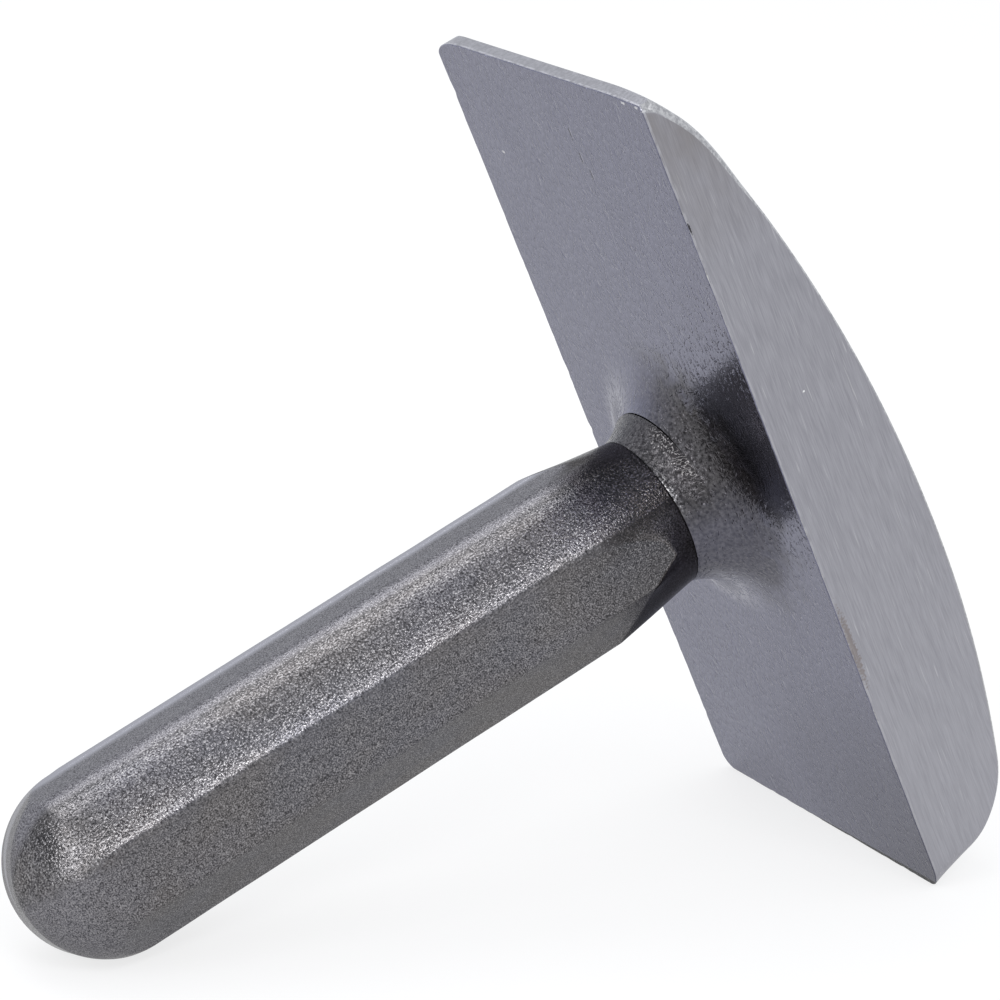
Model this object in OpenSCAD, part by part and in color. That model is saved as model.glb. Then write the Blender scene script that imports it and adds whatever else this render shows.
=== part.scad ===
// Panel beating dolly: a crowned steel block on a stubby octagonal handle.
// It stands as it rests on a table, on its heel edge and on the round end of its handle.
// The modules draw the pieces upright, with the handle's axis on Z, the flat underside of the
// head at Z 0 and the heel towards +X. stance() then turns them into the resting pose.

/* [Part] */
// Piece to draw

/* [Head] */
// Length from the toe edge to the heel edge
head_length = 128; // [110:1:150]
// Width from the forged side to the ground side
head_width = 58; // [48:1:72]
// Depth from the underside to the deepest point of the crown
head_depth = 20.7; // [18:0.1:26]
// Distance from the heel edge to the deepest point of the crown
crown_from_heel = 46.4; // [36:0.2:60]
// Radius that the crown rolls up with at the heel
heel_radius = 16.5; // [10:0.5:24]
// Height of the upright wall under the heel edge
heel_edge = 1.2; // [0.2:0.1:3]
// Radius that the crown rises with towards the toe
toe_radius = 56; // [30:1:70]
// Angle between the crown and the underside at the toe edge
toe_slope = 38; // [30:1:46]
// Height of the upright wall at the toe edge
toe_edge = 2.2; // [0.8:0.1:4]
// Corner radius in plan, toe end, forged side
toe_corner = 2; // [1:0.5:8]
// Corner radius in plan, heel end, forged side
heel_corner = 2.5; // [1:0.5:8]
// Corner radius in plan, toe end, ground side
toe_ground_corner = 1.2; // [0.4:0.1:5]
// Corner radius in plan, heel end, ground side
heel_ground_corner = 2.4; // [0.4:0.1:5]

/* [Boss around the neck] */
// Distance from the heel edge to the handle's axis
handle_from_heel = 61.2; // [50:0.2:75]
// Height of the boss above the underside, up to its seam with the weld
boss_height = 4; // [2:0.2:7]
// Radius of the hollow flank that runs from the waist of the handle to the underside
flank_radius = 11; // [9:0.5:16]

/* [Handle] */
// Width across the flats of the octagon
handle_flats = 25; // [22:0.5:32]
// Height of the round end above the underside
handle_reach = 113.5; // [95:0.5:135]
// Turn of the octagon against the head, from a corner on the X axis
handle_turn = 30; // [0:0.5:45]
// Amount that each long corner is worn back
corner_break = 0.08; // [0.04:0.02:0.4]
// Diameter at the waist, where the weld starts
neck_diameter = 22.8; // [19:0.2:24]
// Length of the taper from the waist to the full bar
taper_length = 14; // [8:0.5:24]

/* [Weld] */
// Height of the weld ring, from its seam with the boss up to the waist
weld_height = 4.2; // [3:0.2:6]
// Upright root of the weld against the spigot
weld_root = 0.4; // [0.2:0.1:1]

/* [Spigot in the head] */
// Diameter of the spigot
spigot_diameter = 16; // [10:0.5:18]
// Depth of the blind socket below the underside
socket_depth = 9; // [5:0.5:12]
// Gap between the spigot and the socket all round
spigot_gap = 0.05; // [0.02:0.01:0.2]
// Gap under the end of the spigot
socket_bottom_gap = 0.3; // [0.1:0.1:1]
// Bevel on the end of the spigot
spigot_bevel = 1; // [0.4:0.2:2]

/* [Hidden] */
$fn = 96;
octagon_sides = 8;
flank_bite = 0.15;
least_crown = 0.6;
lap = 2;
spare = 1;

heel_end = handle_from_heel;
toe_end = handle_from_heel - head_length;
crown_low = heel_end - crown_from_heel;

// The roll at the heel, which the depth of the head may limit
heel_roll = min(heel_radius, head_depth - heel_edge - least_crown);
heel_centre = [heel_end - heel_roll, -heel_edge];
heel_drop = head_depth - heel_edge - heel_roll;

// The rise at the toe, which ends at the toe edge with the toe slope
toe_out = wall_out(90 + toe_slope);
toe_centre = [toe_end, -toe_edge] - toe_radius * toe_out;
toe_drop = head_depth + toe_centre.y - toe_radius;

// The two long arcs of the crown, which meet level at its deepest point
heel_crown = crown_radius(heel_roll, heel_drop, crown_low - heel_centre.x);
toe_crown = crown_radius(toe_radius, toe_drop, crown_low - toe_centre.x);
heel_crown_centre = [crown_low, heel_crown - head_depth];
toe_crown_centre = [crown_low, toe_crown - head_depth];
heel_join = wall_angle(heel_centre - heel_crown_centre);
toe_join = wall_angle(toe_centre - toe_crown_centre);

bar_radius = handle_flats / 2 / cos(180 / octagon_sides) - corner_break;
bar_corner = handle_flats / 2 / cos(180 / octagon_sides);
dome_centre = handle_reach - bar_radius;
neck_radius = neck_diameter / 2;
waist_height = boss_height + weld_height;
root_height = boss_height + weld_root;
spigot_end = socket_bottom_gap - socket_depth;
taper_top = waist_height + taper_length;
spigot_radius = spigot_diameter / 2;

// The hollow flank: one arc that starts at the waist and just cuts into the underside
flank_height = flank_radius - flank_bite;
flank_middle = neck_radius + half_chord(flank_radius, flank_height - waist_height);
flank_foot = flank_middle - half_chord(flank_radius, flank_height);

// Resting pose: the lean at which the heel edge and the round end touch the table together
reach_to_dome = norm([heel_end, dome_centre]);
lean = acos(bar_radius / reach_to_dome) - atan2(dome_centre, heel_end);
stand_height = heel_end * cos(lean);
front_limit = heel_centre.x * sin(lean) - heel_centre.y * cos(lean) + heel_roll;
back_limit = -dome_centre * cos(lean) - bar_radius;

// Direction out of the crown, as an angle that turns down from the heel
function wall_out(angle) = [cos(angle), -sin(angle)];
function wall_angle(out) = atan2(-out.y, out.x);

// Radius of a long arc that is level at the crown's deepest point and tangent to an end roll
function crown_radius(roll, drop, run) = roll + drop / 2 + run * run / (2 * drop);

// Half the width of a disc at some distance from its middle
function half_chord(radius, away) = sqrt(radius * radius - away * away);

// A slice of a disc between two angles of the crown
module slice(centre, radius, start, end) {
    far = 1.1 * radius / cos((end - start) / 2);
    intersection() {
        translate(centre) circle(r = radius);
        polygon([centre, centre + far * wall_out(start), centre + far * wall_out(end)]);
    }
}

// Side view of the head: X along the head, Y for its height
module head_profile() {
    intersection() {
        translate([toe_end, -head_depth - spare]) square([head_length, head_depth + spare]);
        union() {
            translate(heel_centre) square([heel_roll, heel_edge]);
            slice(heel_centre, heel_roll, 0, heel_join + lap);
            slice(heel_crown_centre, heel_crown, heel_join, 90);
            slice(toe_crown_centre, toe_crown, 90, toe_join);
            slice(toe_centre, toe_radius, toe_join - lap, 90 + toe_slope);
        }
    }
}

// The waste outside a rounded corner; way_x and way_y point from the middle to the corner
module corner_waste(edge, radius, way_x, way_y) {
    translate([edge, way_y * head_width / 2]) scale([way_x, way_y]) difference() {
        translate([-radius, -radius]) square(radius + spare);
        translate([-radius, -radius]) circle(r = radius);
    }
}

// The boss under the hollow flank, up to its seam with the weld
module boss_section() {
    difference() {
        translate([0, -spare]) square([flank_foot + spare, boss_height + spare]);
        flank_waste();
    }
}

// The round hollow that both the boss and the weld ring are dressed to
module flank_waste() {
    translate([flank_middle, flank_height]) circle(r = flank_radius);
}

module head() {
    color([0.56, 0.58, 0.63])
    difference() {
        union() {
            difference() {
                translate([0, head_width / 2, 0]) rotate([90, 0, 0])
                    linear_extrude(height = head_width) head_profile();
                translate([0, 0, -head_depth - spare])
                    linear_extrude(height = head_depth + 2 * spare) {
                        corner_waste(toe_end, toe_corner, -1, -1);
                        corner_waste(heel_end, heel_corner, 1, -1);
                        corner_waste(toe_end, toe_ground_corner, -1, 1);
                        corner_waste(heel_end, heel_ground_corner, 1, 1);
                    }
            }
            rotate_extrude() boss_section();
        }
        translate([0, 0, -socket_depth])
            cylinder(r = spigot_radius + spigot_gap, h = socket_depth + boss_height + spare);
    }
}

// The octagonal bar before its neck and its round end are shaped
module octagon_bar() {
    rotate([0, 0, handle_turn])
        cylinder(r = bar_corner, h = handle_reach + spare, $fn = octagon_sides);
}

module handle() {
    color([0.28, 0.28, 0.29])
    union() {
        intersection() {
            octagon_bar();
            union() {
                translate([0, 0, waist_height])
                    cylinder(r1 = neck_radius, r2 = bar_radius, h = taper_length);
                translate([0, 0, taper_top])
                    cylinder(r = bar_radius, h = dome_centre - taper_top);
                translate([0, 0, dome_centre]) sphere(r = bar_radius);
            }
        }
        translate([0, 0, root_height])
            cylinder(r1 = spigot_radius, r2 = neck_radius, h = waist_height - root_height);
        translate([0, 0, spigot_end + spigot_bevel])
            cylinder(r = spigot_radius, h = root_height - spigot_end - spigot_bevel);
        translate([0, 0, spigot_end])
            cylinder(r1 = spigot_radius - spigot_bevel, r2 = spigot_radius, h = spigot_bevel);
    }
}

// Half of the weld ring's section: it fills the bevel of the handle down to the boss
module weld_section() {
    bevel = [neck_radius - spigot_radius, waist_height - root_height];
    difference() {
        polygon([
            [spigot_radius, boss_height],
            [flank_middle, boss_height],
            [flank_middle, waist_height + bevel.y / 2],
            [neck_radius, waist_height] + bevel / 2,
            [spigot_radius, root_height]
        ]);
        flank_waste();
    }
}

module weld_collar() {
    color([0.44, 0.45, 0.48]) rotate_extrude() weld_section();
}

// Turns a piece from its upright drawing into the resting pose, with the table at Z 0
module stance() {
    translate([-(front_limit + back_limit) / 2, 0, stand_height])
        rotate([180, 90 - lean, 0]) children();
}

stance() head();
stance() handle();
stance() weld_collar();
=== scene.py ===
import math

import bmesh
import bpy
from mathutils import Matrix, Vector, noise


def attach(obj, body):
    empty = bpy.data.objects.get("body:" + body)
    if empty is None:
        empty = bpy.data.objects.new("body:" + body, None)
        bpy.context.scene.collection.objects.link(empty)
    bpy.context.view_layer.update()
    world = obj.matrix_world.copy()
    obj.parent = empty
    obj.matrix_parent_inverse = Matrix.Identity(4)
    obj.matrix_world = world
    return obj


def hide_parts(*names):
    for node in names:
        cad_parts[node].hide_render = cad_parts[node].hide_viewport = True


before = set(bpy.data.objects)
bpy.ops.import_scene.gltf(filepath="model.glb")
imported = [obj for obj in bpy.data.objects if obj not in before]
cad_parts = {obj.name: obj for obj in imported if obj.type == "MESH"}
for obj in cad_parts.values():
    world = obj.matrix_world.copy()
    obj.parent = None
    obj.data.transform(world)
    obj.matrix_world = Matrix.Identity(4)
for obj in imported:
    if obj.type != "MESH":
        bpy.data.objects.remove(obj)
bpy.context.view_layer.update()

# Panel beating dolly, standing on its heel edge and on the round end of its handle.
# The pieces are worked out upright, in millimetres: the handle's axis is Z, the flat underside
# of the head is Z 0, the heel is towards +X and the ground side is +Y.
# place() turns a point into the resting pose.

MM = 0.001

# Head
head_length = 128.0
head_width = 58.0
head_depth = 20.7
crown_from_heel = 46.4
heel_roll = 16.5
heel_edge = 1.2
toe_radius = 56.0
toe_slope = 38.0
toe_edge = 2.2
toe_corner = 2.0
heel_corner = 2.5
toe_ground_corner = 1.2
heel_ground_corner = 2.4

# Handle, neck and weld
handle_from_heel = 61.2
handle_flats = 25.0
handle_reach = 113.5
handle_turn = 30.0
corner_break = 0.08
neck_diameter = 22.8
taper_length = 14.0
boss_height = 4.0
flank_radius = 11.0
weld_height = 4.2
weld_root = 0.4
spigot_diameter = 16.0
socket_depth = 9.0
spigot_gap = 0.05
socket_bottom_gap = 0.3
spigot_bevel = 1.0

heel_end = handle_from_heel
toe_end = handle_from_heel - head_length
crown_low = heel_end - crown_from_heel
half_width = head_width / 2
facets = 8
facet_turn = 2 * math.pi / facets
bar_corner = handle_flats / 2 / math.cos(facet_turn / 2)
bar_radius = bar_corner - corner_break
dome_centre = handle_reach - bar_radius
neck_radius = neck_diameter / 2
spigot_radius = spigot_diameter / 2
waist_height = boss_height + weld_height
root_height = boss_height + weld_root
flank_middle = neck_radius + math.sqrt(flank_radius ** 2 - (flank_radius - waist_height) ** 2)

lean = math.acos(bar_radius / math.hypot(heel_end, dome_centre)) - math.atan2(dome_centre, heel_end)
stand_height = heel_end * math.cos(lean)
front_limit = (heel_end - heel_roll) * math.sin(lean) + heel_edge * math.cos(lean) + heel_roll
back_limit = -dome_centre * math.cos(lean) - bar_radius
slide = -(front_limit + back_limit) / 2

# The upright axes as they lie in the resting pose
along = Vector((math.sin(lean), 0, -math.cos(lean)))
across = Vector((0, -1, 0))
outwards = Vector((-math.cos(lean), 0, -math.sin(lean)))
underside_middle = Vector((slide, 0, stand_height))


def place(x, y, z):
    return (along * x + across * y + outwards * z + underside_middle) * MM


# Small helpers

def mix(a, b, t):
    return a + (b - a) * t


def smooth(t):
    t = min(max(t, 0.0), 1.0)
    return t * t * (3 - 2 * t)


def around(radius, angle, height):
    return place(radius * math.cos(angle), radius * math.sin(angle), height)


def wave(x, y, z, size):
    # Slow smooth noise between -1 and 1 with features of about one size.
    return noise.noise(Vector((x, y, z)) / size)


def softer(a, b, blend):
    # The smaller of two sizes, with a rounded change over.
    h = max(blend - abs(a - b), 0.0) / blend
    return min(a, b) - h * h * blend / 4


def grid(bm, rows, closed=False):
    # Faces between rows of points or of vertices; a closed row joins its end to its start.
    made = [[p if isinstance(p, bmesh.types.BMVert) else bm.verts.new(p) for p in row] for row in rows]
    for upper, lower in zip(made, made[1:]):
        last = len(upper) if closed else len(upper) - 1
        for i in range(last):
            j = (i + 1) % len(upper)
            bm.faces.new((upper[i], upper[j], lower[j], lower[i]))
    return made


def build(name, bm, material, node, sharp=32):
    limit = math.radians(sharp)
    bmesh.ops.recalc_face_normals(bm, faces=bm.faces)
    for face in bm.faces:
        face.smooth = True
    for edge in bm.edges:
        if len(edge.link_faces) == 2 and edge.calc_face_angle(0) > limit:
            edge.smooth = False
    mesh = bpy.data.meshes.new(name)
    bm.to_mesh(mesh)
    bm.free()
    piece = bpy.data.objects.new(name, mesh)
    bpy.context.collection.objects.link(piece)
    mesh.materials.append(material)
    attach(piece, "root")
    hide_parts(node)
    return piece


# Crown of the head

def outward(degrees):
    return Vector((math.cos(math.radians(degrees)), -math.sin(math.radians(degrees))))


def crown_arcs():
    # The heel roll, the two long arcs and the toe rise, each tangent to the next.
    heel_centre = Vector((heel_end - heel_roll, -heel_edge))
    toe_centre = Vector((toe_end, -toe_edge)) - toe_radius * outward(90 + toe_slope)
    arcs = []
    for roll, centre in ((heel_roll, heel_centre), (toe_radius, toe_centre)):
        drop = head_depth + centre.y - roll
        run = crown_low - centre.x
        radius = roll + drop / 2 + run * run / (2 * drop)
        long_centre = Vector((crown_low, radius - head_depth))
        towards = centre - long_centre
        join = math.degrees(math.atan2(-towards.y, towards.x))
        arcs.append((centre, roll, long_centre, radius, join))
    heel, toe = arcs
    return [
        (heel[0], heel[1], 0, heel[4]),
        (heel[2], heel[3], heel[4], 90),
        (toe[2], toe[3], 90, toe[4]),
        (toe[0], toe[1], toe[4], 90 + toe_slope),
    ]


station_step = 1.0
crowded_length = 6.0
crowded_stations = 14
edge_break = 0.12
rim_break = 0.22


def crown_stations():
    # Points along the crown from the heel to the toe, with the way out of the steel at each.
    # They crowd together before the toe, where the rounded corners need them.
    stations = []
    for centre, radius, start, end in crown_arcs():
        last = end == 90 + toe_slope
        if last:
            end -= math.degrees(edge_break / radius)
        crowd = math.degrees(crowded_length / radius) if last else 0.0
        count = max(2, round(math.radians(end - crowd - start) * radius / station_step))
        angles = [mix(start, end - crowd, i / count) for i in range(count)]
        if last:
            for k in range(crowded_stations + 1):
                left = 1 - k / crowded_stations
                angles.append(end - crowd * left * left)
        stations += [(centre + radius * outward(a), outward(a)) for a in angles]
    return stations


near_relief_width = 11.5
near_relief_radius = 40.0
toe_relief_share = 0.12
toe_relief_start = 4.0
toe_relief_length = 14.0
heel_relief_fade = 6.0
toe_round_width = 1.15
toe_round_depth = 1.05
toe_round_length = 22.0
toe_round_turn = 0.72
toe_bend = 0.3


def roll_off(inside):
    # How far the crown rolls off at some distance inside the ground side, over most of the head.
    into = max(0.0, near_relief_width - inside)
    return near_relief_radius - math.sqrt(near_relief_radius ** 2 - into ** 2)


def toe_round(inside):
    # The share of the narrow round that takes the place of the roll near the toe.
    into = min(max(0.0, 1 - inside / toe_round_width), 1.0)
    whole = 1 - math.sqrt(1 - toe_round_turn ** 2)
    return (1 - math.sqrt(1 - (toe_round_turn * into) ** 2)) / whole


def relief(point, inside):
    # Full depth that the crown loses at one place near the ground side.
    from_toe = point.x - toe_end
    share = mix(toe_relief_share, 1.0, smooth((from_toe - toe_relief_start) / toe_relief_length))
    if point.x > crown_low:
        share = smooth(-point.y / heel_relief_fade)
    narrow = toe_round_depth * max(0.0, 1 - from_toe / toe_round_length)
    return share * roll_off(inside) + narrow * toe_round(inside)


def toe_shift(x, y):
    # The toe edge bends back a little towards the ground side.
    return toe_bend * roll_off(half_width - y) * (1 - smooth((x - toe_end) / toe_relief_length))


def crown_spot(station, y):
    point, way = station
    spot = point - relief(point, near_edge(point.x) - y) * way
    return spot.x + toe_shift(point.x, y), y, spot.y


# Outline of the head in plan

near_drift = 0.8
heel_ground_length = 3.6
toe_corner_length = 2.6
toe_corner_depth = 8.2
toe_ground_depth = 0.6
ragged_width = 3.0
ragged_depth = 0.3
chip_depth = 1.2


def corner_back(inside, length, depth):
    # How far a rounded corner stands back at some distance inside the end.
    if inside >= length:
        return 0.0
    return depth * (1 - math.sqrt(max(1 - ((length - inside) / length) ** 2, 0.0)))


def near_edge(x):
    heel_inside = heel_end - x
    toe_inside = x - toe_end
    back = corner_back(heel_inside, heel_ground_length, heel_ground_corner)
    back += corner_back(toe_inside, toe_ground_corner, toe_ground_depth)
    drift = max(0.0, 1 - toe_inside / (head_length / 2))
    return half_width - back - near_drift * drift * drift


def far_edge(x):
    back = corner_back(heel_end - x, heel_corner, heel_corner)
    return half_width - back - corner_back(x - toe_end, toe_corner_length, toe_corner_depth)


def ragged(x, y):
    # How far the trimmed edge of the forged side is bitten back at the underside.
    uneven = 0.5 + 0.35 * wave(x, 3.0, 0.0, 7.0) + 0.25 * wave(x, 9.0, 0.0, 2.2)
    chips = max(0.0, wave(x, 21.0, 0.0, 2.6) - 0.22)
    share = smooth((ragged_width - half_width - y) / ragged_width)
    return share * (ragged_depth * uneven + chip_depth * chips)


def underside_wave(x, y):
    return 0.05 * wave(x, 1.6 * y, 5.0, 17.0) + 0.015 * wave(x, 2.0 * y, 25.0, 5.0)


across_cells = 54
crowded_width = 3.0
crowded_cells = 10
wall_rows = 7
spoke_rings = 40
flank_rings = 18
seam_gap = 0.16
seam_depth = 0.6


def worn_edge(x, y):
    # The edge of the underside is nicked and worn by a small varying amount.
    rough = 0.5 * wave(x, y, 2.0, 3.5) + 0.5 * wave(x, y, 8.0, 1.1)
    return edge_break + 0.3 * max(0.0, rough)


def outline(rows):
    # The rim of a grid of rows, from the near side round by the toe and the far side to the heel.
    first, last = rows[0], rows[-1]
    rim = [row[0] for row in rows]
    rim += last[1:-1]
    rim += [row[-1] for row in reversed(rows)]
    rim += list(reversed(first[1:-1]))
    return rim


def plan_inset(loop):
    # The same loop in plan, moved inwards by the wear of the edge.
    moved = []
    count = len(loop)
    for i, (x, y) in enumerate(loop):
        before, after = loop[i - 1], loop[(i + 1) % count]
        run = Vector((after[0] - before[0], after[1] - before[1]))
        inwards = Vector((run.y, -run.x)).normalized()
        if inwards.dot(Vector((x, y))) > 0:
            inwards = -inwards
        distance = worn_edge(x, y)
        moved.append((x + inwards.x * distance, y + inwards.y * distance))
    return moved


def flank(height):
    return flank_middle - math.sqrt(flank_radius ** 2 - (flank_radius - height) ** 2)


def seam_open(angle):
    # The seam under the weld is open on the upper left and dressed shut elsewhere.
    degrees = math.degrees(angle) % 360
    return smooth((degrees - 130) / 25) * smooth((235 - degrees) / 20)


def across_places(near, far):
    # Places across the head, crowded together at the near edge for its narrow round.
    places = [near - rim_break - crowded_width * (k / crowded_cells) ** 2 for k in range(crowded_cells)]
    start = near - rim_break - crowded_width
    return places + [mix(start, far + edge_break, j / across_cells) for j in range(across_cells + 1)]


def make_head(material):
    bm = bmesh.new()
    stations = crown_stations()
    crown, walls = [], []
    for i, station in enumerate(stations):
        x = station[0].x
        if i == len(stations) - 1:
            x = toe_end
        near, far = near_edge(x), -far_edge(x)
        inner = across_places(near, far)
        crown.append([crown_spot(station, y) for y in inner])
        outer = [near] + inner[1:-1] + [far]
        walls.append([(x, y, crown_spot(station, y)) for y in outer])
    made = grid(bm, [[place(*spot) for spot in row] for row in crown])
    loops = [outline(made)]
    rim = outline(walls)
    top_plan = [(x + toe_shift(x, y), y + ragged(x, y)) for x, y, spot in rim]
    for k in range(wall_rows + 1):
        row = []
        for (x, y, spot), top in zip(rim, top_plan):
            height = max(-spot[2] - (rim_break if y > 0 else edge_break), 0.5)
            foot_x = spot[0] if x > toe_end else top[0]
            level = -mix(height, worn_edge(*top), k / wall_rows)
            side = mix(y, top[1], (k / wall_rows) ** 3)
            row.append(place(mix(foot_x, top[0], k / wall_rows), side, level))
        loops.append(row)
    inset = plan_inset(top_plan)
    spokes = [math.atan2(y, x) for x, y in inset]
    for k in range(spoke_rings + 1):
        row = []
        for (x, y), angle in zip(inset, spokes):
            here_x = mix(x, flank_middle * math.cos(angle), k / spoke_rings)
            here_y = mix(y, flank_middle * math.sin(angle), k / spoke_rings)
            row.append(place(here_x, here_y, underside_wave(here_x, here_y) * smooth(4 * (1 - k / spoke_rings))))
        loops.append(row)
    start = math.pi / 2
    end = math.asin((flank_radius - boss_height) / flank_radius)
    for k in range(1, flank_rings + 1):
        turn = mix(start, end, k / flank_rings)
        radius = flank_middle - flank_radius * math.cos(turn)
        height = flank_radius - flank_radius * math.sin(turn)
        if k == flank_rings:
            loops.append([around(flank(height - seam_gap * seam_open(a)), a, height - seam_gap * seam_open(a)) for a in spokes])
        else:
            loops.append([around(radius, a, min(height, boss_height - seam_gap * 1.2)) for a in spokes])
    inner_radius = flank(boss_height) - seam_depth
    loops.append([around(inner_radius, a, boss_height - seam_gap * seam_open(a)) for a in spokes])
    socket = spigot_radius + spigot_gap
    loops.append([around(socket, a, boss_height) for a in spokes])
    loops.append([around(socket, a, -socket_depth) for a in spokes])
    made = grid(bm, loops, closed=True)
    bm.faces.new(made[-1])
    return build("forged_head", bm, material, "head", sharp=20)


# Weld ring

weld_turns = 360
weld_rows = 20


def crinkle(angle, height):
    # The weld is rough where the dressing wheel didn't reach.
    degrees = math.degrees(angle) % 360
    share = smooth((degrees - 88) / 20) * smooth((172 - degrees) / 22)
    x, y = 13 * math.cos(angle), 13 * math.sin(angle)
    rough = wave(x, y, height, 0.9) + 0.6 * wave(x, y, height, 0.45)
    return share * (0.2 * rough + 0.08) * smooth((waist_height - 1 - height) / 1.5)


def make_weld(material):
    bm = bmesh.new()
    angles = [2 * math.pi * i / weld_turns for i in range(weld_turns)]
    rows = []
    for k in range(weld_rows + 1):
        t = k / weld_rows
        height = mix(boss_height, waist_height, t)
        fade = math.sin(math.pi * min(t * 0.8 + 0.15, 1.0))
        rows.append([around(flank(height) + crinkle(a, height) * fade, a, height) for a in angles])
    rows.append([around(spigot_radius, a, root_height) for a in angles])
    rows.append([around(spigot_radius, a, boss_height) for a in angles])
    rows.append([around(flank(boss_height) - seam_depth, a, boss_height) for a in angles])
    made = grid(bm, rows, closed=True)
    grid(bm, [made[-1], made[0]], closed=True)
    return build("weld_ring", bm, material, "weld_collar", sharp=50)


# Handle

handle_turns = 384
taper_rows = 44
bar_rows = 48
dome_rows = 52
ridge_blend = 0.12
soft_ridge = 3
soft_ridge_blend = 3.0
tongue_blend = 0.06
soft_tongue_blend = 0.9
full_facet = 2
full_facet_bulge = 0.45
flash_turn = math.radians(200)
flash_trim = 0.33
flash_reach = bar_radius - flash_trim
flash_start = 0.6
flash_line = 0.12
# Turn in degrees round the handle and height of the crease
ground_crease = ((30, 22.5), (75, 16.4), (85, 11.8), (97, 12.3), (105, 14.0), (120, 22.0))


def octagon(angle):
    # Distance from the axis to the worn octagon in one direction.
    turned = (angle - math.radians(handle_turn)) % (2 * math.pi)
    index = int(turned / facet_turn) % facets
    local = turned - (index + 0.5) * facet_turn
    own = handle_flats / 2 / math.cos(local)
    if index == full_facet:
        across_facet = math.tan(local) / math.tan(facet_turn / 2)
        own += full_facet_bulge * (1 - across_facet ** 2)
    other = handle_flats / 2 / math.cos(facet_turn - abs(local))
    ridge = (index + (1 if local > 0 else 0)) % facets
    blend = soft_ridge_blend if ridge == soft_ridge else ridge_blend
    return softer(own, other, blend)


def crease_height(degrees, own):
    # Height at which the taper meets the bar; the hand ground lower side has its own line.
    for start, end in zip(ground_crease, ground_crease[1:]):
        if start[0] <= degrees < end[0]:
            return mix(start[1], end[1], (degrees - start[0]) / (end[0] - start[0]))
    return waist_height + taper_length * (own - neck_radius) / (bar_radius - neck_radius)


def handle_radius(angle, height):
    degrees = math.degrees(angle)
    own = min(octagon(angle), bar_radius)
    rise = (height - waist_height) / (crease_height(degrees, own) - waist_height)
    cone = min(mix(neck_radius, own, rise), bar_radius)
    upper = smooth((degrees - 86) / 40) * smooth((195 - degrees) / 14)
    fade = smooth((height - waist_height) / 3) * smooth((waist_height + taper_length + 8 - height) / 8)
    blend = mix(tongue_blend, soft_tongue_blend, upper * fade)
    ridge = flash_line * smooth((degrees - 202) / 4) * smooth((216 - degrees) / 4)
    return softer(own, cone, blend) + ridge * smooth((height - taper_length) / 8)


def dome_reach(angle, tilt):
    # Distance from the middle of the round end; tilt is measured from the handle's axis.
    flat = octagon(angle) / max(math.sin(tilt), 0.01)
    reach = softer(flat, bar_radius, tongue_blend)
    side = math.sin(tilt) * math.cos(angle - flash_turn)
    high = math.cos(tilt)
    trim = mix(bar_radius, flash_reach, smooth(high / flash_start))
    return min(reach, trim / math.hypot(side, high))


def make_handle(material):
    bm = bmesh.new()
    angles = [2 * math.pi * i / handle_turns for i in range(handle_turns)]
    taper_top = waist_height + taper_length
    heights = [mix(waist_height, taper_top + 2, i / taper_rows) for i in range(taper_rows)]
    heights += [mix(taper_top + 2, dome_centre, i / bar_rows) for i in range(bar_rows)]
    spigot_end = socket_bottom_gap - socket_depth
    rows = [
        [around(spigot_radius - spigot_bevel, a, spigot_end) for a in angles],
        [around(spigot_radius, a, spigot_end + spigot_bevel) for a in angles],
        [around(spigot_radius, a, root_height) for a in angles],
    ]
    for height in heights:
        row = []
        for a in angles:
            worn = 0.05 * wave(12 * math.cos(a), 12 * math.sin(a), height, 9.0)
            radius = handle_radius(a, height) + worn * smooth((height - waist_height) / 4) - 0.03
            row.append(around(radius, a, height))
        rows.append(row)
    for k in range(dome_rows):
        tilt = math.pi / 2 * (1 - k / dome_rows)
        row = []
        for a in angles:
            reach = dome_reach(a, tilt)
            flat, high = reach * math.sin(tilt), dome_centre + reach * math.cos(tilt)
            worn = 0.05 * wave(12 * math.cos(a), 12 * math.sin(a), high, 9.0) * math.sin(tilt)
            row.append(around(flat + worn - 0.03, a, high))
        rows.append(row)
    made = grid(bm, rows, closed=True)
    bm.faces.new(made[0])
    tip = bm.verts.new(place(0, 0, dome_centre + flash_reach))
    last = made[-1]
    for i in range(handle_turns):
        bm.faces.new((last[i], last[(i + 1) % handle_turns], tip))
    return build("octagonal_handle", bm, material, "handle", sharp=60)


# Node helpers

def put(tree, kind, inputs=(), **settings):
    # Adds a node; an input is a socket to link or a constant.
    made = tree.nodes.new(kind)
    for name, value in settings.items():
        setattr(made, name, value)
    for name, value in dict(inputs).items():
        if isinstance(value, bpy.types.NodeSocket):
            tree.links.new(value, made.inputs[name])
        else:
            made.inputs[name].default_value = value
    return made


def calc(tree, operation, a, b=0.0):
    return put(tree, "ShaderNodeMath", {0: a, 1: b}, operation=operation).outputs[0]


def remap(tree, value, low, high, to_low=0.0, to_high=1.0):
    inputs = {"Value": value, "From Min": low, "From Max": high, "To Min": to_low, "To Max": to_high}
    return put(tree, "ShaderNodeMapRange", inputs).outputs[0]


def blend_values(tree, mask, a, b):
    return put(tree, "ShaderNodeMix", {0: mask, 2: a, 3: b}).outputs[0]


def blend_colours(tree, mask, a, b):
    inputs = {0: mask, 6: a if isinstance(a, bpy.types.NodeSocket) else (*a, 1)}
    inputs[7] = b if isinstance(b, bpy.types.NodeSocket) else (*b, 1)
    return put(tree, "ShaderNodeMix", inputs, data_type="RGBA").outputs[2]


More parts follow.
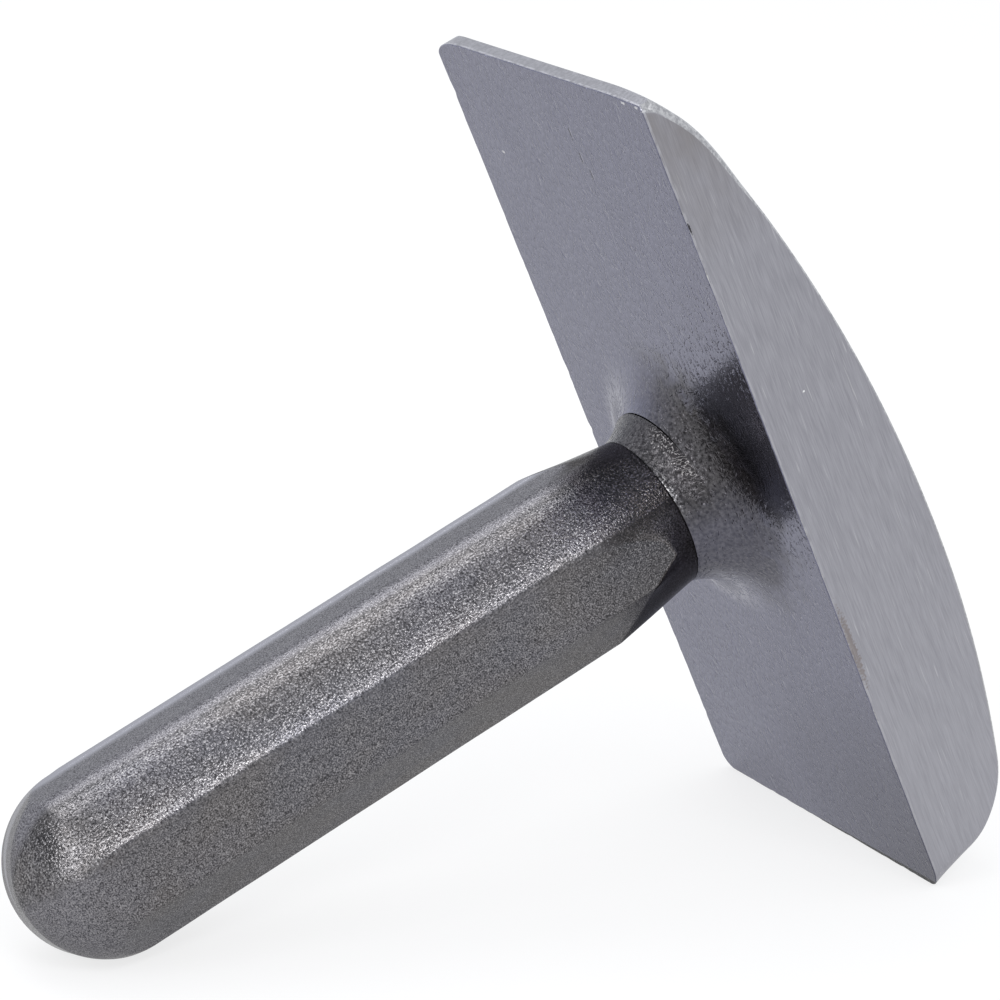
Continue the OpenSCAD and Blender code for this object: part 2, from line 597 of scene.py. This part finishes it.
def upright_group():
    # Turns a point of the resting part back into upright millimetres.
    group = bpy.data.node_groups.new("upright position", "ShaderNodeTree")
    group.interface.new_socket("Position", in_out="OUTPUT", socket_type="NodeSocketVector")
    point = put(group, "ShaderNodeTexCoord").outputs["Object"]
    inputs = {0: point, 1: tuple(underside_middle * MM)}
    moved = put(group, "ShaderNodeVectorMath", inputs, operation="SUBTRACT").outputs[0]
    parts = {}
    for i, axis in enumerate((along, across, outwards)):
        inputs = {0: moved, 1: tuple(axis / MM)}
        parts[i] = put(group, "ShaderNodeVectorMath", inputs, operation="DOT_PRODUCT").outputs["Value"]
    joined = put(group, "ShaderNodeCombineXYZ", parts).outputs[0]
    put(group, "NodeGroupOutput", {0: joined})
    return group


def grain(tree, position, size, stretch=(1, 1, 1), detail=3.0, roughness=0.5):
    # Noise with features of one size in millimetres, longer where stretch is larger.
    factors = tuple(1 / (size * s) for s in stretch)
    inputs = {0: position, 1: factors}
    scaled = put(tree, "ShaderNodeVectorMath", inputs, operation="MULTIPLY").outputs[0]
    inputs = {"Vector": scaled, "Scale": 1.0, "Detail": detail, "Roughness": roughness}
    return put(tree, "ShaderNodeTexNoise", inputs).outputs["Fac"]


def new_material(name):
    material = bpy.data.materials.new(name)
    material.use_nodes = True
    tree = material.node_tree
    return material, tree, tree.nodes["Principled BSDF"]


def upright_position(tree, group):
    made = put(tree, "ShaderNodeGroup", node_tree=group)
    parts = put(tree, "ShaderNodeSeparateXYZ", {0: made.outputs[0]}).outputs
    return made.outputs[0], parts


def set_bump(tree, shader, height, strength=1.0):
    # The height is in millimetres.
    inputs = {"Height": height, "Distance": MM, "Strength": strength}
    bump = put(tree, "ShaderNodeBump", inputs)
    tree.links.new(bump.outputs["Normal"], shader.inputs["Normal"])


def set_inputs(tree, shader, inputs):
    for name, value in inputs.items():
        if isinstance(value, bpy.types.NodeSocket):
            tree.links.new(value, shader.inputs[name])
        else:
            shader.inputs[name].default_value = value


def weighted(tree, *pairs):
    # Sum of values times weights.
    total = None
    for value, weight in pairs:
        term = calc(tree, "MULTIPLY", value, weight)
        total = term if total is None else calc(tree, "ADD", total, term)
    return total


# Materials

def around_axis(tree, parts):
    # Angle round the handle's axis, in degrees, and distance from it.
    angle = calc(tree, "DEGREES", calc(tree, "ARCTAN2", parts[1], parts[0]))
    squares = calc(tree, "ADD", calc(tree, "POWER", parts[0], 2.0), calc(tree, "POWER", parts[1], 2.0))
    return angle, calc(tree, "SQRT", squares)


def window(tree, value, start, end, soft):
    # One between two limits and nothing outside, with soft ends.
    rise = remap(tree, value, start - soft, start + soft)
    fall = remap(tree, value, end + soft, end - soft)
    return calc(tree, "MULTIPLY", rise, fall)


# Where the scale next to the neck is smoother
scaled_middle = (-12.0, 22.0, 0.0)
scaled_size = (18.0, 12.0, 20.0)
# Painted shading: each tick is coloured as if lit from one side
tick_light = (0.22, 0.16, 0.0)
tick_size = 0.66
tick_stretch = (1.7, 1, 1)


def neck_shade_and_reflection(tree, position, parts):
    # Painted dark reflection and shade: a dull dark grey on the ground side of the neck, standing in for the
    # handle's reflection and the shade beside it.
    angle, radius = around_axis(tree, parts)
    wander = grain(tree, position, 4.0, (1, 1, 1), 4, 0.6)
    reach = calc(tree, "ADD", radius, remap(tree, wander, 0.3, 0.7, -3.0, 3.0))
    angle = calc(tree, "FLOORED_MODULO", angle, 360.0)
    deep = calc(tree, "ADD", 0.65, calc(tree, "MULTIPLY", window(tree, angle, 100, 165, 14), 0.35))
    sector = calc(tree, "MULTIPLY", window(tree, angle, 36, 184, 14), deep)
    return calc(tree, "MULTIPLY", sector, remap(tree, reach, 25, 18))


def mark(tree, position, spot, size):
    # A soft edged spot of one size round a place.
    away = put(tree, "ShaderNodeVectorMath", {0: position, 1: spot}, operation="SUBTRACT").outputs[0]
    factors = tuple(1 / length for length in size)
    scaled = put(tree, "ShaderNodeVectorMath", {0: away, 1: factors}, operation="MULTIPLY").outputs[0]
    reach = put(tree, "ShaderNodeVectorMath", {0: scaled}, operation="LENGTH").outputs["Value"]
    wander = calc(tree, "MULTIPLY", grain(tree, position, 0.35, (1, 1, 1), 2), 2.0)
    return remap(tree, calc(tree, "ADD", reach, wander), 2.0, 1.6)


def forged_skin(tree, position):
    # Colour, height and roughness of the lacquered forging skin.
    cloud = grain(tree, position, 9, (2, 1, 1), 4)
    ticks = grain(tree, position, tick_size, tick_stretch, 2, 0.5)
    ticked = remap(tree, ticks, 0.53, 0.65)
    dents = grain(tree, position, 2.2, (1.5, 1, 1), 2, 0.5)
    dented = remap(tree, dents, 0.64, 0.70)
    fine = grain(tree, position, 0.4, (1.2, 1, 1), 2)
    calm = mark(tree, position, scaled_middle, scaled_size)
    ticked = calc(tree, "MULTIPLY", ticked, remap(tree, calm, 0.0, 1.0, 1.0, 0.2))
    # Painted shading: the colour follows the ticks minus the same ticks moved aside, so each tick looks lit on one
    # side.
    beside = put(tree, "ShaderNodeVectorMath", {0: position, 1: tick_light}, operation="ADD").outputs[0]
    slope = calc(tree, "SUBTRACT", ticks, grain(tree, beside, tick_size, tick_stretch, 2, 0.5))
    shade = weighted(tree, (cloud, 0.4), (remap(tree, slope, -0.10, 0.10), 0.6))
    colour = blend_colours(tree, shade, (0.152, 0.154, 0.206), (0.232, 0.234, 0.305))
    height = weighted(tree, (ticked, 0.065), (dented, -0.04), (fine, 0.012), (cloud, 0.02))
    rough = remap(tree, fine, 0.3, 0.7, 0.14, 0.22)
    return colour, height, rough


# Single marks that the worn head carries, as upright places
bright_nicks = ((-66.2, 23.7, 0), (-66.1, 27.0, 0), (-50.1, -20.1, 0))
corner_nick = (-65.9, 28.6, -0.2)
forging_laps = ((-54.2, 4.6, 0), (-57.9, 4.2, 0), (-51.8, 5.9, 0))
edge_nick = (-48.2, 28.7, -0.3)
edge_stain = (19.0, 28.8, -0.6)
ground_speck = (-19.0, 29.0, -7.3)
heel_shade_start = -12.0
heel_shade_width = 0.95


def head_steel(group):
    material, tree, shader = new_material("forged and ground head")
    position, parts = upright_position(tree, group)
    normal = put(tree, "ShaderNodeTexCoord").outputs["Normal"]
    normal_y = put(tree, "ShaderNodeSeparateXYZ", {0: normal}).outputs[1]
    near_side = remap(tree, normal_y, -0.955, -0.985)
    far_side = remap(tree, normal_y, 0.80, 0.92)
    below = remap(tree, parts[2], -0.10, -0.14)
    ground = calc(tree, "MAXIMUM", near_side, calc(tree, "SUBTRACT", below, far_side))

    skin, skin_height, skin_rough = forged_skin(tree, position)
    # Painted dark reflection and shade round the neck, in a mottled dark grey.
    dark = neck_shade_and_reflection(tree, position, parts)
    mottle = grain(tree, position, 0.5, (1, 1, 1), 3, 0.6)
    neck_dark_colour = blend_colours(tree, remap(tree, mottle, 0.33, 0.67), (0.03, 0.029, 0.031), (0.135, 0.130, 0.136))
    skin = blend_colours(tree, dark, skin, neck_dark_colour)
    # Painted shade: the underside is darker towards the heel corner, where the floor's shadow is mirrored in it.
    heel_reflected_shade = calc(tree, "MULTIPLY", remap(tree, parts[0], 26, 58), remap(tree, parts[1], -5, 29))
    skin = blend_colours(tree, calc(tree, "MULTIPLY", heel_reflected_shade, 0.68), skin, (0.085, 0.085, 0.104))
    widest = heel_end - heel_shade_width
    heel_limit = remap(tree, parts[1], heel_shade_start, half_width, heel_end - 0.15, widest)
    heel_shade = remap(tree, calc(tree, "SUBTRACT", parts[0], heel_limit), -0.05, 0.05)
    heel_shade = calc(tree, "MULTIPLY", heel_shade, remap(tree, parts[2], -0.9, -0.6))
    for spot in bright_nicks:
        skin = blend_colours(tree, mark(tree, position, spot, (0.25, 0.5, 0.4)), skin, (0.62, 0.62, 0.64))
    # Each lap is a dark line with a painted highlight along one side.
    for x, y, z in forging_laps:
        skin = blend_colours(tree, mark(tree, position, (x, y, z), (1.1, 0.22, 0.4)), skin, (0.07, 0.07, 0.09))
        skin = blend_colours(tree, mark(tree, position, (x, y + 0.3, z), (1.0, 0.16, 0.4)), skin, (0.30, 0.30, 0.36))
    skin_height = weighted(tree, (skin_height, 1.0), (calc(tree, "MULTIPLY", dark, mottle), 0.09))

    lines = grain(tree, position, 0.17, (24, 1, 1), 2, 0.6)
    bands = grain(tree, position, 0.9, (14, 1, 1), 3, 0.6)
    streak = weighted(tree, (lines, 0.85), (bands, 0.15))
    scratches = remap(tree, grain(tree, position, 0.22, (30, 1, 1), 1), 0.70, 0.76)
    bright = blend_colours(tree, remap(tree, streak, 0.3, 0.7), (0.295, 0.294, 0.325), (0.395, 0.393, 0.428))
    bright = blend_colours(tree, calc(tree, "MULTIPLY", scratches, 0.6), bright, (0.55, 0.55, 0.57))
    sweat = grain(tree, position, 7.0, (1.6, 1, 1), 3)
    near_toe = remap(tree, parts[0], toe_end + 26, toe_end + 4)
    warm = calc(tree, "MULTIPLY", calc(tree, "MULTIPLY", near_toe, near_side), remap(tree, sweat, 0.25, 0.6))
    bright = blend_colours(tree, calc(tree, "MULTIPLY", warm, 0.8), bright, (0.240, 0.225, 0.222))
    toe_facing = put(tree, "ShaderNodeVectorMath", {0: normal, 1: tuple(-along)}, operation="DOT_PRODUCT")
    crown_side = remap(tree, toe_facing.outputs["Value"], 0.85, 0.75)
    rim = calc(tree, "MULTIPLY", remap(tree, parts[1], 26.6, 27.2), calc(tree, "SUBTRACT", 1.0, near_side))
    worn = calc(tree, "MULTIPLY", calc(tree, "MULTIPLY", rim, below), crown_side)
    worn = calc(tree, "MULTIPLY", worn, remap(tree, parts[0], 54, 46))
    # The ground side is painted lighter towards the heel.
    heel_light = remap(tree, parts[0], -20, 50, 0.0, 0.12)
    bright = blend_colours(tree, heel_light, bright, (0.62, 0.62, 0.66))
    rubbed = blend_colours(tree, remap(tree, mottle, 0.4, 0.6), (0.36, 0.36, 0.37), (0.56, 0.56, 0.56))
    bright = blend_colours(tree, worn, bright, rubbed)
    toe_steel = blend_colours(tree, remap(tree, mottle, 0.35, 0.65), (0.23, 0.23, 0.25), (0.32, 0.32, 0.345))
    toe_wall = remap(tree, toe_facing.outputs["Value"], 0.80, 0.88)
    bright = blend_colours(tree, calc(tree, "MULTIPLY", toe_wall, below), bright, toe_steel)
    chipped = remap(tree, grain(tree, position, 0.9, (2.5, 1, 1), 2), 0.42, 0.56, 0.0, 0.8)
    worn_line = calc(tree, "MULTIPLY", window(tree, parts[2], -0.44, -0.11, 0.03), chipped)
    bright = blend_colours(tree, worn_line, bright, (0.45, 0.45, 0.48))
    stain = mark(tree, position, edge_stain, (7.5, 1.5, 0.6))
    bright = blend_colours(tree, calc(tree, "MULTIPLY", stain, 0.5), bright, (0.19, 0.145, 0.115))
    bright = blend_colours(tree, mark(tree, position, edge_nick, (1.1, 0.6, 0.16)), bright, (0.05, 0.05, 0.055))
    bright = blend_colours(tree, mark(tree, position, ground_speck, (0.2, 0.4, 0.2)), bright, (0.9, 0.9, 0.9))
    both = blend_colours(tree, ground, skin, bright)
    both = blend_colours(tree, mark(tree, position, corner_nick, (0.6, 0.6, 0.5)), both, (0.7, 0.7, 0.7))
    ground_height = weighted(tree, (lines, 0.006))
    ground_rough = remap(tree, streak, 0.3, 0.7, 0.30, 0.40)

    set_inputs(tree, shader, {
        "Metallic": 1.0,
        "Base Color": blend_colours(tree, heel_shade, both, (0.03, 0.03, 0.033)),
        "Roughness": blend_values(tree, ground, skin_rough, ground_rough),
    })
    set_bump(tree, shader, blend_values(tree, ground, skin_height, ground_height))
    return material


def handle_steel(group):
    material, tree, shader = new_material("dark blasted steel")
    position, parts = upright_position(tree, group)
    normal = put(tree, "ShaderNodeTexCoord").outputs["Normal"]
    facing = put(tree, "ShaderNodeVectorMath", {0: normal, 1: tuple(outwards)}, operation="DOT_PRODUCT")
    sharp_cone = remap(tree, facing.outputs["Value"], -0.03, -0.08)
    angle, radius = around_axis(tree, parts)
    lit = window(tree, angle, 116, 168, 6)
    bold = grain(tree, position, 0.27, (1, 1, 1), 2, 0.6)
    fine = blend_values(tree, lit, grain(tree, position, 0.19, (1, 1, 1), 2, 0.6), bold)
    coarse = grain(tree, position, 0.55, (1, 1, 1), 2, 0.5)
    soft_cone = remap(tree, parts[2], taper_length + waist_height + 2, waist_height + 5)
    cone = blend_values(tree, remap(tree, angle, 100, 124), sharp_cone, soft_cone)
    cloud = grain(tree, position, 7, (1, 1, 2), 3)
    tint = blend_colours(tree, remap(tree, cloud, 0.35, 0.65), (0.188, 0.178, 0.178), (0.186, 0.183, 0.199))
    upper_ridge = window(tree, angle, -160, -147, 3)
    flash_way = (along * math.cos(flash_turn) + across * math.sin(flash_turn)).normalized()
    trimmed = put(tree, "ShaderNodeVectorMath", {0: normal, 1: tuple(flash_way)}, operation="DOT_PRODUCT")
    strip = calc(tree, "MULTIPLY", remap(tree, trimmed.outputs["Value"], 0.993, 0.998), remap(tree, parts[2], dome_centre, dome_centre + 3))
    bare = calc(tree, "MAXIMUM", strip, upper_ridge)
    tint = blend_colours(tree, bare, tint, (0.215, 0.215, 0.245))
    # Painted shade: the lower taper is darker towards the neck.
    tip = calc(tree, "MULTIPLY", window(tree, angle, 74, 120, 4), remap(tree, parts[2], 32, 13, 0.0, 0.6))
    tint = blend_colours(tree, tip, tint, (0.07, 0.067, 0.068))
    # Painted dark reflection: darker bands beside the highlights on the upper facets.
    calm = calc(tree, "MULTIPLY", window(tree, angle, 161, 171, 2), 0.45)
    calm = calc(tree, "MAXIMUM", calm, calc(tree, "MULTIPLY", window(tree, angle, 127, 139, 4), 0.2))
    tint = blend_colours(tree, calm, tint, (0.09, 0.088, 0.09))
    rim = calc(tree, "MAXIMUM", remap(tree, angle, 164, 172), remap(tree, angle, -140, -150))
    round_end = calc(tree, "SUBTRACT", remap(tree, parts[2], dome_centre - 2, dome_centre + 8), lit)
    rim = calc(tree, "MULTIPLY", calc(tree, "MAXIMUM", rim, round_end), 0.9)
    tint = blend_colours(tree, rim, tint, (0.245, 0.240, 0.262))
    tint = blend_colours(tree, upper_ridge, tint, (0.46, 0.46, 0.50))
    # Painted dark reflection: a dark band on the round end beside its highlight.
    dome_dark_reflection = window(tree, parts[2], dome_centre + 4.8, dome_centre + 8.4, 1)
    dome_dark_reflection = calc(tree, "MULTIPLY", dome_dark_reflection, window(tree, angle, 134, 162, 7))
    tint = blend_colours(tree, calc(tree, "MULTIPLY", dome_dark_reflection, 0.85), tint, (0.05, 0.048, 0.05))
    # Painted shade and dark reflection: the taper facing the head is near black where it meets the bar and lighter
    # towards the waist.
    waist = remap(tree, parts[2], 18, 11)
    cone_colour = blend_colours(tree, waist, (0.027, 0.022, 0.020), (0.105, 0.094, 0.089))
    polished = calc(tree, "MULTIPLY", window(tree, angle, 84, 112, 5), waist)
    cone_colour = blend_colours(tree, polished, cone_colour, (0.20, 0.185, 0.18))
    tint = blend_colours(tree, cone, tint, cone_colour)
    # Painted glints and shade in the grain: bright specks on its high points, fewer on the shaded taper, and dark
    # pits in its low points.
    speck = blend_values(tree, bare, remap(tree, fine, 0.56, 0.64), 0.0)
    fewer_glints = calc(tree, "MULTIPLY", calc(tree, "MAXIMUM", cone, tip), remap(tree, waist, 0.0, 1.0, 0.7, 0.3))
    speck = calc(tree, "MULTIPLY", speck, calc(tree, "SUBTRACT", 1.0, fewer_glints))
    tint = blend_colours(tree, speck, tint, (0.33, 0.32, 0.325))
    pit = blend_values(tree, bare, remap(tree, fine, 0.36, 0.54, 0.9, 0.0), 0.1)
    set_inputs(tree, shader, {
        "Metallic": 1.0,
        "Base Color": blend_colours(tree, pit, tint, (0.02, 0.02, 0.022)),
        "Roughness": remap(tree, coarse, 0.35, 0.65, 0.13, 0.20),
        "Specular Tint": (0.72, 0.72, 0.72, 1),
    })
    rise = weighted(tree, (fine, 0.092), (coarse, 0.042))
    set_bump(tree, shader, calc(tree, "MULTIPLY", rise, remap(tree, lit, 0.0, 1.0, 0.35, 1.0)))
    return material


def weld_steel(group):
    material, tree, shader = new_material("dressed weld")
    position, parts = upright_position(tree, group)
    skin, skin_height, skin_rough = forged_skin(tree, position)
    # Painted dark reflection and shade round the neck.
    dark = neck_shade_and_reflection(tree, position, parts)
    mottle = grain(tree, position, 0.5, (1, 1, 1), 3, 0.6)
    neck_dark_colour = blend_colours(tree, remap(tree, mottle, 0.33, 0.67), (0.03, 0.029, 0.031), (0.135, 0.130, 0.136))
    angle, radius = around_axis(tree, parts)
    # The weld is painted darker on its upper left side.
    left = calc(tree, "MAXIMUM", remap(tree, angle, 90, 130), remap(tree, angle, -90, -130))
    grey = blend_colours(tree, remap(tree, mottle, 0.35, 0.65), (0.018, 0.017, 0.018), (0.068, 0.065, 0.067))
    skin = blend_colours(tree, calc(tree, "MULTIPLY", left, 0.9), skin, grey)
    skin = blend_colours(tree, dark, skin, neck_dark_colour)
    # Painted shade: the weld is darker between 106 and 160 degrees round the axis.
    weld_shade = calc(tree, "MULTIPLY", window(tree, angle, 106, 160, 6), 0.5)
    skin = blend_colours(tree, weld_shade, skin, grey)
    ripple = grain(tree, position, 0.5, (1, 1, 1), 3, 0.6)
    edge = calc(tree, "ADD", parts[2], remap(tree, ripple, 0.3, 0.7, -0.9, 0.9))
    # The rough part of the weld is dark, with painted highlights along its folds.
    crinkled = calc(tree, "MULTIPLY", window(tree, angle, 122, 166, 7), remap(tree, edge, 5.8, 5.1))
    folds = grain(tree, position, 0.7, (0.5, 1, 1.6), 2)
    fold_line = remap(tree, calc(tree, "ABSOLUTE", calc(tree, "SUBTRACT", folds, 0.5)), 0.026, 0.004)
    bare = blend_colours(tree, fold_line, (0.032, 0.030, 0.032), (0.52, 0.50, 0.50))
    # Painted highlight: light lumps along the weld's top edge.
    lip = window(tree, angle, 108, 136, 8)
    lip = calc(tree, "MULTIPLY", lip, remap(tree, parts[2], waist_height - 1.0, waist_height - 0.4))
    lip = calc(tree, "MULTIPLY", lip, remap(tree, ripple, 0.45, 0.60))
    skin = blend_colours(tree, lip, skin, (0.26, 0.255, 0.26))
    set_inputs(tree, shader, {
        "Metallic": 1.0,
        "Base Color": blend_colours(tree, crinkled, skin, bare),
        "Roughness": blend_values(tree, crinkled, skin_rough, 0.32),
    })
    dark_mottle = calc(tree, "MULTIPLY", calc(tree, "MAXIMUM", dark, left), mottle)
    fine_height = weighted(tree, (skin_height, 1.0), (dark_mottle, 0.09))
    set_bump(tree, shader, blend_values(tree, crinkled, fine_height, calc(tree, "MULTIPLY", ripple, 0.25)))
    return material


upright = upright_group()
make_head(head_steel(upright))
make_handle(handle_steel(upright))
make_weld(weld_steel(upright))


# Camera, light and floor

def add_camera():
    # The camera stands where the photograph was taken from, with its slight roll.
    place_at = Vector((-247.54, -452.53, 202.94)) * MM
    aim = Vector((10.53, 15.17, 52.33)) * MM
    camera_data = bpy.data.cameras.new("camera")
    camera = bpy.data.objects.new("camera", camera_data)
    bpy.context.collection.objects.link(camera)
    camera_data.sensor_width = 36
    camera_data.lens = 140.4
    camera_data.shift_x = 0.0021
    camera_data.shift_y = -0.0039
    camera_data.clip_start = 0.01
    turn = (aim - place_at).to_track_quat("-Z", "Y").to_matrix().to_4x4()
    roll = Matrix.Rotation(math.radians(1.394), 4, "Z")
    camera.matrix_world = Matrix.Translation(place_at) @ turn @ roll
    bpy.context.scene.camera = camera


def add_light(name, direction, distance, long_way, width, height, radiance):
    # The width of a softbox lies along its long way.
    light_data = bpy.data.lights.new(name, "AREA")
    light_data.shape = "RECTANGLE"
    light_data.size = width
    light_data.size_y = height
    light_data.energy = radiance * math.pi * width * height
    light = bpy.data.objects.new(name, light_data)
    bpy.context.collection.objects.link(light)
    away = Vector(direction).normalized()
    upright_side = away.cross(Vector(long_way)).normalized()
    long_side = upright_side.cross(away)
    turn = Matrix((long_side, upright_side, away)).transposed().to_4x4()
    light.matrix_world = Matrix.Translation(away * distance + Vector((0, 0, 0.06))) @ turn


def add_floor():
    bm = bmesh.new()
    reach = 4.0
    corners = [bm.verts.new((x * reach, y * reach, 0)) for x, y in ((-1, -1), (1, -1), (1, 1), (-1, 1))]
    bm.faces.new(corners)
    mesh = bpy.data.meshes.new("floor")
    bm.to_mesh(mesh)
    bm.free()
    floor = bpy.data.objects.new("floor", mesh)
    bpy.context.collection.objects.link(floor)
    material, tree, shader = new_material("white sweep")
    rays = put(tree, "ShaderNodeLightPath").outputs["Is Camera Ray"]
    set_inputs(tree, shader, {
        "Base Color": (0.22, 0.22, 0.22, 1),
        "Roughness": 0.9,
        "Specular IOR Level": 0.0,
        "Emission Color": (1, 1, 1, 1),
        "Emission Strength": remap(tree, rays, 0.0, 1.0, 0.58, 0.75),
    })
    mesh.materials.append(material)


def add_world():
    world = bpy.data.worlds.new("studio")
    bpy.context.scene.world = world
    world.use_nodes = True
    tree = world.node_tree
    background = tree.nodes["Background"]
    rays = put(tree, "ShaderNodeLightPath").outputs["Is Camera Ray"]
    tree.links.new(blend_colours(tree, rays, (0.93, 0.95, 1.0), (1, 1, 1)), background.inputs["Color"])
    background.inputs["Strength"].default_value = 1.0


add_camera()
add_light("front softbox", (-0.144, -0.735, 0.662), 1.2, (1, 0, 0), 0.5, 0.3, 8.5)
add_light("back softbox", (-0.13, 0.45, 0.88), 1.2, (1, 0, 0), 0.5, 0.85, 2.3)
add_light("left softbox", (-0.835, -0.37, 0.41), 1.2, (-0.09, -0.66, -0.74), 1.12, 0.26, 5.5)
add_floor()
add_world()
bpy.context.scene.view_settings.view_transform = "Standard"
